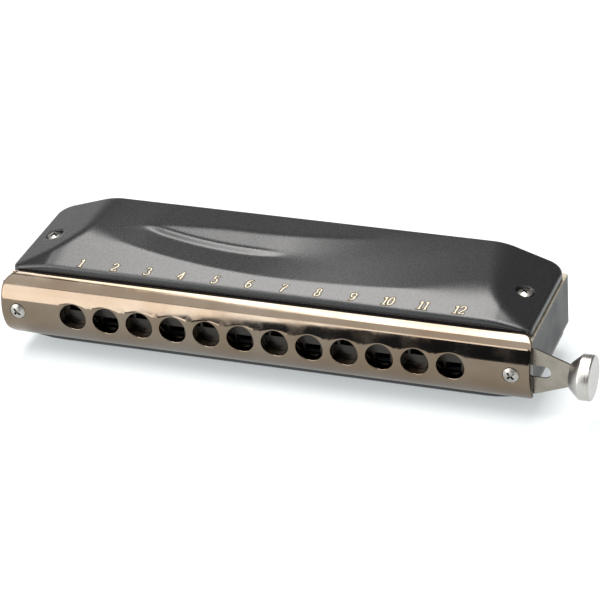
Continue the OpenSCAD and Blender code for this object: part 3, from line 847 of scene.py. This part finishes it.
# half the side of the square block of cells that a hole or a screw takes up
BAND = HOLE_PITCH / 2
SCREW_BLOCK = 3.2
HOLE_EDGE_R = 0.32
SINK_EDGE_R = 0.1
END_EDGE_R = 0.7
REAR_EDGE_R = 0.25
SINK_R = 2.2
SINK_Y = 0.55
SHANK_R = 1.05
# beyond this X the columns follow the outline of the end
LEAN_X = 62.0


def bow_y(z):
    """The bowed front at a height."""
    return BOW_R - sqrt(BOW_R ** 2 - z ** 2)


def mouth_rows():
    """Half of the mouthpiece's section, from the middle up and back, as (y, z, outward y, outward z)."""
    band_steps, bow_steps, shoulder_steps = 8, 10, 8
    rows = []
    for k in range(band_steps + 1):
        z = BAND * k / band_steps
        rows.append((bow_y(z), z, (bow_y(z) - BOW_R) / BOW_R, z / BOW_R))
    start = atan2(BAND, BOW_R - bow_y(BAND))
    for k in range(1, bow_steps + 1):
        a = start + (BOW_END - start) * k / bow_steps
        rows.append((BOW_R - BOW_R * cos(a), BOW_R * sin(a), -cos(a), sin(a)))
    for k in range(1, shoulder_steps + 1):
        a = BOW_END + (pi / 2 - BOW_END) * k / shoulder_steps
        rows.append((SHOULDER_Y - SHOULDER_R * cos(a), SHOULDER_Z + SHOULDER_R * sin(a), -cos(a), sin(a)))
    for angle in (90, 60, 30, 0):
        a = radians(angle)
        y = MOUTH_BACK - REAR_EDGE_R + REAR_EDGE_R * cos(a)
        rows.append((y, MOUTH_TOP - REAR_EDGE_R + REAR_EDGE_R * sin(a), cos(a), sin(a)))
    return rows


def inner_point(y, z):
    """The hollow's wall behind a point of the section."""
    corner = 0.4
    if abs(z) <= HOLLOW_Z - corner:
        return HOLLOW_Y, z
    return max(HOLLOW_Y, min(y, MOUTH_BACK)), HOLLOW_Z if z > 0 else -HOLLOW_Z


def mouth_columns():
    """Places along X: a fine start at each end, 16 steps to a hole, and the screws' blocks."""
    marks = [-MOUTH_HALF + END_EDGE_R * (1 - cos(radians(a))) for a in (0, 22.5, 45, 67.5, 90)]
    stretches = [(-MOUTH_SCREW_X - SCREW_BLOCK, 2), (-MOUTH_SCREW_X + SCREW_BLOCK, 12), (HOLES[0] - BAND, 8)]
    stretches += [(x + BAND, 16) for x in HOLES]
    for end, steps in stretches:
        marks += list(np.linspace(marks[-1], end, steps + 1)[1:])
    marks += [-m for m in reversed(marks) if -m > marks[-1] + 1e-6]
    return marks


def nearest(values, target):
    """The index of the value closest to the target."""
    return min(range(len(values)), key=lambda k: abs(values[k] - target))


def left_end(z):
    """The closed end's outline, round at its corners."""
    over = abs(z) - (MOUTH_TOP - END_CORNER_R)
    if over <= 0:
        return -MOUTH_HALF
    return -MOUTH_HALF + END_CORNER_R - sqrt(max(END_CORNER_R ** 2 - over ** 2, 0))


def right_end(y):
    """The slide's end, round at its back corners."""
    over = y - (MOUTH_BACK - BACK_CORNER)
    if over <= 0:
        return MOUTH_HALF
    return MOUTH_HALF - BACK_CORNER + sqrt(max(BACK_CORNER ** 2 - over ** 2, 0))


def mouth_grids(shape, columns, rows):
    """Point indices of the outer and the inner wall, by column along X and row round the section."""
    outer = np.zeros((len(columns), len(rows)), int)
    inner = np.zeros_like(outer)
    for j, (y, z, ny, nz) in enumerate(rows):
        left, right = left_end(z), right_end(y)
        inner_y, inner_z = inner_point(y, z)
        for i, c in enumerate(columns):
            x = c
            if c < -LEAN_X:
                x = -LEAN_X + (c + LEAN_X) * (left + LEAN_X) / (LEAN_X - MOUTH_HALF)
            if c > LEAN_X:
                x = LEAN_X + (c - LEAN_X) * (right - LEAN_X) / (MOUTH_HALF - LEAN_X)
            r = END_EDGE_R if c < 0 else END_EDGE_R * 0.5
            inset = min(MOUTH_HALF - abs(c), END_EDGE_R) * r / END_EDGE_R
            drop = r - sqrt(max(r * r - (r - inset) ** 2, 0))
            outer[i, j] = shape.loop([(x, y - ny * drop, z - nz * drop)])[0]
            inner[i, j] = shape.loop([(x, inner_y, inner_z)])[0]
    return outer, inner


def block(columns, rows, x, half):
    """Columns and rows that bound the square block round a hole's axis."""
    zs = [row[1] for row in rows]
    return nearest(columns, x - half), nearest(columns, x + half), nearest(zs, -half), nearest(zs, half)


def mouthpiece_shape():
    """The bowed shell with its holes, its hollow back and a sink for each screw."""
    half = mouth_rows()
    rows = [(y, -z, ny, -nz) for y, z, ny, nz in reversed(half[1:])] + half
    columns = mouth_columns()
    shape = Shape()
    outer, inner = mouth_grids(shape, columns, rows)
    taken = set()
    for x in HOLES:
        spot = block(columns, rows, x, BAND)
        taken |= bore(shape, outer, inner, spot, x, HOLE_EDGE_R, [(HOLE_R, HOLLOW_Y)])
    for side in (-1, 1):
        x = side * MOUTH_SCREW_X
        spot = block(columns, rows, x, SCREW_BLOCK)
        taken |= bore(shape, outer, inner, spot, x, SINK_EDGE_R, [(SINK_R, SINK_Y), (SHANK_R, HOLLOW_Y)])
    for i in range(len(columns) - 1):
        for j in range(len(rows) - 1):
            if (i, j) not in taken:
                shape.faces.append((outer[i, j], outer[i + 1, j], outer[i + 1, j + 1], outer[i, j + 1]))
                shape.faces.append((inner[i, j], inner[i, j + 1], inner[i + 1, j + 1], inner[i + 1, j]))
    shape.bridge(list(outer[0]), list(inner[0]), closed=False)
    shape.bridge(list(inner[-1]), list(outer[-1]), closed=False)
    shape.bridge(list(inner[:, 0]), list(outer[:, 0]), closed=False)
    shape.bridge(list(outer[:, -1]), list(inner[:, -1]), closed=False)
    return shape


def bore(shape, outer, inner, spot, x, edge, steps):
    """A round hole through the mouthpiece with an eased front edge. Returns the block's cells.

    steps are (radius, depth) pairs from the front, and edge is the radius of the eased edge.
    """
    i0, i1, j0, j1 = spot
    border = block_border(outer, i0, i1, j0, j1)
    behind = block_border(inner, i0, i1, j0, j1)
    turns = [atan2(shape.points[k][2], shape.points[k][0] - x) for k in border]

    def circle(r, depth):
        spots = [(x + r * cos(t), r * sin(t)) for t in turns]
        return shape.loop([(a, depth(c), c) for a, c in spots])

    r0 = steps[0][0]
    rim = circle(r0 + edge, bow_y)
    midway = []
    for p, q in zip(border, rim):
        a, c = [(shape.points[p][k] + shape.points[q][k]) / 2 for k in (0, 2)]
        midway.append((a, bow_y(c), c))
    midway = shape.loop(midway)
    shape.bridge(border, midway)
    shape.bridge(midway, rim)
    before = rim
    for angle in (67.5, 45, 22.5, 0):
        r = r0 + edge * (1 - cos(radians(angle)))
        drop = edge * (1 - sin(radians(angle)))
        after = circle(r, lambda z, d=drop: bow_y(z) + d)
        shape.bridge(before, after)
        before = after
    for k, (r, depth) in enumerate(steps):
        if k:
            after = circle(r, lambda z, d=steps[k - 1][1]: d)
            shape.bridge(before, after)
            before = after
        after = circle(r, lambda z, d=depth: d)
        shape.bridge(before, after)
        before = after
    shape.bridge(before, behind)
    return {(i, j) for i in range(i0, i1) for j in range(j0, j1)}


def add_mouthpiece():
    """The plated mouthpiece."""
    piece = mouthpiece_shape().piece("mouthpiece_shell", PLATING, "plated_mouthpiece", smooth_angle=40)
    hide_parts("mouthpiece")


# ---------------------------------------------------------------- button

BUTTON_HEAD_L = 3.0
BUTTON_NECK_R = 3.4
BUTTON_RIM_R = 0.55


def button_profile():
    """Points (x, radius) from the middle of the button's inner side to the middle of its dished end."""
    r = (button_high.y - button_low.y) / 2
    start, end = button_low.x, button_high.x
    head = end - BUTTON_HEAD_L
    neck = [(start + 0.15, 0.0), (start, 0.4), (start, BUTTON_NECK_R - 0.25), (start + 0.12, BUTTON_NECK_R)]
    ridge = [(head - 0.25, r - 0.18), (head - 0.02, r - 0.03), (head + 0.25, r)]
    rim = []
    for angle in range(0, 91, 15):
        a = radians(angle)
        rim.append((end - BUTTON_RIM_R * (1 - sin(a)), r - BUTTON_RIM_R * (1 - cos(a))))
    dish = [(end - 0.03, r - 1.0), (end - 0.08, r * 0.6), (end - 0.1, r * 0.3), (end - 0.1, 0.0)]
    return neck + ridge + rim + dish


def add_button():
    """The turned button: conical shoulder, rounded rim, faint ridge and a slightly dished end."""
    axis_y = (button_high.y + button_low.y) / 2
    count = 96
    turns = [2 * pi * k / count for k in range(count)]
    shape = Shape()
    loops = []
    for x, radius in button_profile():
        r = max(radius, 0.001)
        loops.append(shape.loop([(x, axis_y + r * cos(t), r * sin(t)) for t in turns]))
    for a, b in zip(loops, loops[1:]):
        shape.bridge(a, b)
    piece = shape.piece("button_turned", FINISHES["button_steel"], "button_steel", SLIDE, smooth_angle=50)
    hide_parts("slide_button")


# ---------------------------------------------------------------- return spring

def add_spring():
    """The coil spring behind the slide's lug, built at the length of the CAD's spring."""
    low, high = node_box("slide_spring")
    length = high.x - low.x
    centre = (low + high) / 2
    wire = 0.2
    coil = (high.y - low.y) / 2 - wire
    turns, steps, sides = 8, 28, 10
    end_turns = 0.75
    end_rise = 0.9 * wire
    shape = Shape()
    rings = []
    for k in range(turns * steps + 1):
        turn = k / steps
        share = np.clip((turn - end_turns) / (turns - 2 * end_turns), 0, 1)
        closed_turns = min(turn, end_turns) + max(turn - turns + end_turns, 0)
        x = low.x + wire + (length - 2 * wire - 2 * end_rise) * share + end_rise * closed_turns / end_turns
        a = 2 * pi * turn
        ring = []
        for m in range(sides):
            b = 2 * pi * m / sides
            r = coil + wire * cos(b)
            ring.append((x + wire * sin(b), centre.y + r * cos(a), centre.z + r * sin(a)))
        rings.append(shape.loop(ring))
    for a, b in zip(rings, rings[1:]):
        shape.bridge(a, b)
    shape.faces += [tuple(rings[0]), tuple(reversed(rings[-1]))]
    piece = shape.piece("spring_coil", FINISHES["spring_steel"], "spring_steel", smooth_angle=60)
    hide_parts("slide_spring")
    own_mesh(piece)


# ---------------------------------------------------------------- numerals

def arc(cx, cy, rx, ry, start, end, count):
    """Points along part of an ellipse."""
    return [(cx + rx * cos(radians(a)), cy + ry * sin(radians(a))) for a in np.linspace(start, end, count)]


# strokes of each digit in a box 1 high, as open lines; the pen gives them thick and thin parts
GLYPHS = {
    "0": [arc(0.32, 0.5, 0.26, 0.48, 90, 450, 25)],
    "1": [[(0.12, 0.80), (0.34, 0.98), (0.34, 0.03)], [(0.12, 0.02), (0.56, 0.02)]],
    "2": [arc(0.32, 0.72, 0.25, 0.26, 170, -40, 14) + [(0.10, 0.06)],
          [(0.10, 0.04), (0.58, 0.04), (0.62, 0.2)]],
    "3": [arc(0.30, 0.74, 0.22, 0.23, 160, -80, 13), arc(0.29, 0.27, 0.27, 0.26, 85, -155, 15)],
    "4": [[(0.44, 0.02), (0.44, 0.97), (0.04, 0.28), (0.66, 0.28)], [(0.26, 0.02), (0.60, 0.02)]],
    "5": [[(0.56, 0.96), (0.18, 0.96), (0.14, 0.54)] + arc(0.30, 0.31, 0.27, 0.29, 120, -150, 16)],
    "6": [[(0.54, 0.94)] + arc(0.42, 0.42, 0.36, 0.52, 105, 190, 9),
          arc(0.32, 0.29, 0.25, 0.27, 0, 360, 21)],
    "7": [[(0.10, 0.80), (0.13, 0.95), (0.60, 0.95), (0.30, 0.40), (0.24, 0.02)]],
    "8": [arc(0.32, 0.75, 0.20, 0.22, 0, 360, 19), arc(0.32, 0.27, 0.25, 0.26, 0, 360, 21)],
    "9": [arc(0.32, 0.70, 0.25, 0.27, 0, 360, 21),
          arc(0.20, 0.56, 0.37, 0.54, 15, -75, 9) + [(0.10, 0.05)]],
}
GLYPH_MIDDLE = 0.33
DIGIT_H = 2.9
DIGIT_W = 2.5
DIGIT_STEP = 1.5
DIGIT_SLANT = 0.17
DIGIT_Y = 8.7
DIGIT_SHIFT_X = 0.35
# half widths of the pen along its thin and, added, its thick direction
PEN_THIN = 0.07
PEN_THICK = 0.125
FOIL_DEPTH = 0.05


def numeral_ribbons(shape, margin, lift):
    """Ribbons along every stroke of 1 to 12, lying on the front slope.

    margin widens the strokes on all sides, and lift is how far they stand above the paint.
    """
    for number, hole in enumerate(HOLES, start=1):
        digits = str(number)
        for place, digit in enumerate(digits):
            shift = (place - (len(digits) - 1) / 2) * DIGIT_STEP
            left = hole + DIGIT_SHIFT_X - GLYPH_MIDDLE * DIGIT_W + shift
            for stroke in GLYPHS[digit]:
                ribbon(shape, left, stroke, margin, lift)


def placed(left, stroke):
    """A stroke's points on the cover's plan, with long lines split up so that they follow the slope."""
    longest = 0.12
    spots = []
    for (a, b), (c, d) in zip(stroke, stroke[1:]):
        pieces = max(1, int(hypot(c - a, d - b) / longest))
        spots += [(a + (c - a) * k / pieces, b + (d - b) * k / pieces) for k in range(pieces)]
    spots.append(stroke[-1])
    leaning = [(a * DIGIT_W, (b - 0.5) * DIGIT_H) for a, b in spots]
    return [(left + a + b * DIGIT_SLANT, DIGIT_Y + b) for a, b in leaning]


def ribbon(shape, left, stroke, margin, lift):
    """One stroke of foil, wide where the pen goes up or down and thin where it goes across."""
    flat = placed(left, stroke)
    last = len(flat) - 1
    sides = ([], [])
    for k, (x, y) in enumerate(flat):
        ax, ay = flat[max(k - 1, 0)]
        bx, by = flat[min(k + 1, last)]
        length = hypot(bx - ax, by - ay) or 1.0
        ux, uy = (bx - ax) / length, (by - ay) / length
        half = PEN_THIN + PEN_THICK * abs(uy) + margin
        reach = {0: -margin, last: margin}.get(k, 0.0)
        for side, line in zip((-1, 1), sides):
            px = x + ux * reach - uy * half * side
            py = y + uy * reach + ux * half * side
            line.append((px, py, float(cover_height(px, py)) + lift))
    low = [shape.loop([(a, b, c - FOIL_DEPTH) for a, b, c in line]) for line in sides]
    high = [shape.loop(line) for line in sides]
    shape.bridge(high[0], high[1], closed=False)
    shape.bridge(low[1], low[0], closed=False)
    shape.bridge(low[0], high[0], closed=False)
    shape.bridge(high[1], low[1], closed=False)
    shape.faces.append((low[0][0], high[0][0], high[1][0], low[1][0]))
    shape.faces.append((low[1][-1], high[1][-1], high[0][-1], low[0][-1]))


def add_numerals():
    """Cream numerals with a dark gold outline, which is a wider layer just below them."""
    gold = inlay("numeral_gold", (0.050, 0.030, 0.007), 0.6, 1.15)
    cream = inlay("numeral_cream", (0.60, 0.55, 0.43), 0.5)
    layers = (("numeral_outlines", gold, 0.24, 0.012), ("numeral_faces", cream, 0.0, 0.024))
    for name, material, margin, lift in layers:
        shape = Shape()
        numeral_ribbons(shape, margin, lift)
        shape.piece(name, material, "cover_paint", smooth_angle=30)


# ---------------------------------------------------------------- build

bpy.context.scene.view_settings.view_transform = "Standard"
add_camera()
add_studio()
add_floor()
dress_cad_nodes()
add_covers()
add_mouthpiece()
add_button()
add_spring()
add_numerals()
